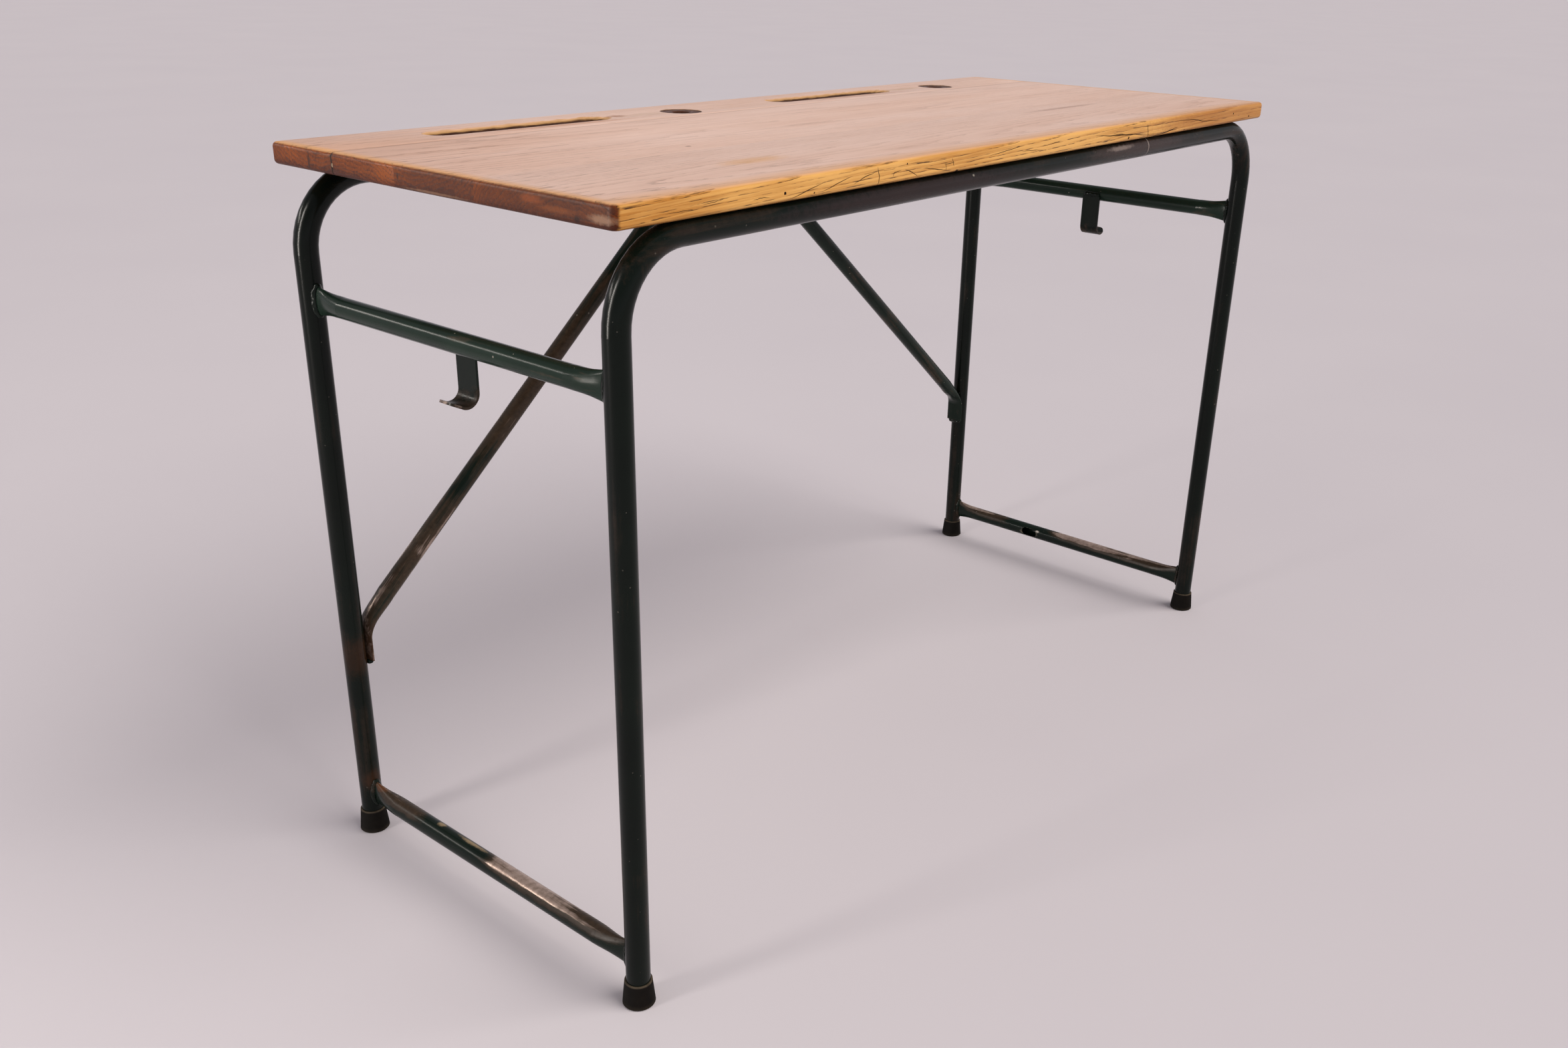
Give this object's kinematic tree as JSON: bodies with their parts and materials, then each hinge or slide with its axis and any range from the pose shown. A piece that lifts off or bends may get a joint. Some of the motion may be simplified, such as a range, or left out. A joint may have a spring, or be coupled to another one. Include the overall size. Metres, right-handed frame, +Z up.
{
  "type": "school desk",
  "caption": "Long low school desk for two pupils: a wooden top with pen grooves and inkwells on a bent steel tube frame with foot rails, rear braces and satchel hooks.",
  "frame": {"origin": "on the floor, under the middle of the desk", "axes": "+X along the desk from the left pupil's place to the right one's, +Y from the pupils' side to the back, +Z up"},
  "size_m": [1.2105, 0.4782, 0.77],
  "materials": {
    "top_wood": "waxed, worn smooth",
    "tongue_wood": "sawn",
    "green_paint": "dark green gloss enamel, worn",
    "ferrule_rubber": "matte, dusty",
    "screw_steel": "dull",
    "dark_moulding": "glossy dark brown moulding"
  },
  "bodies": {
    "desk": {"front_board": "top_wood", "middle_front_board": "top_wood", "middle_back_board": "top_wood", "back_board": "top_wood", "board_tongues": "tongue_wood", "front_frame": "green_paint", "rear_frame": "green_paint", "left_side_rail": "green_paint", "right_side_rail": "green_paint", "left_foot_rail": "green_paint", "right_foot_rail": "green_paint", "left_brace": "green_paint", "right_brace": "green_paint", "left_hook": "green_paint", "right_hook": "green_paint", "left_side_rail_welds": "green_paint", "right_side_rail_welds": "green_paint", "left_foot_rail_welds": "green_paint", "right_foot_rail_welds": "green_paint", "brace_welds": "green_paint", "hook_welds": "green_paint", "front_left_ferrule": "ferrule_rubber", "front_right_ferrule": "ferrule_rubber", "rear_left_ferrule": "ferrule_rubber", "rear_right_ferrule": "ferrule_rubber", "front_screws": "screw_steel", "rear_screws": "screw_steel"},
    "left_inkwell": {"left_inkwell": "dark_moulding"},
    "right_inkwell": {"right_inkwell": "dark_moulding"}
  },
  "joints": [
    {"name": "left_inkwell_lift", "type": "slide", "parent": "desk", "child": "left_inkwell", "axis": [0, 0, 1], "range_m": [0, 0.04]},
    {"name": "right_inkwell_lift", "type": "slide", "parent": "desk", "child": "right_inkwell", "axis": [0, 0, 1], "range_m": [0, 0.04]}
  ]
}
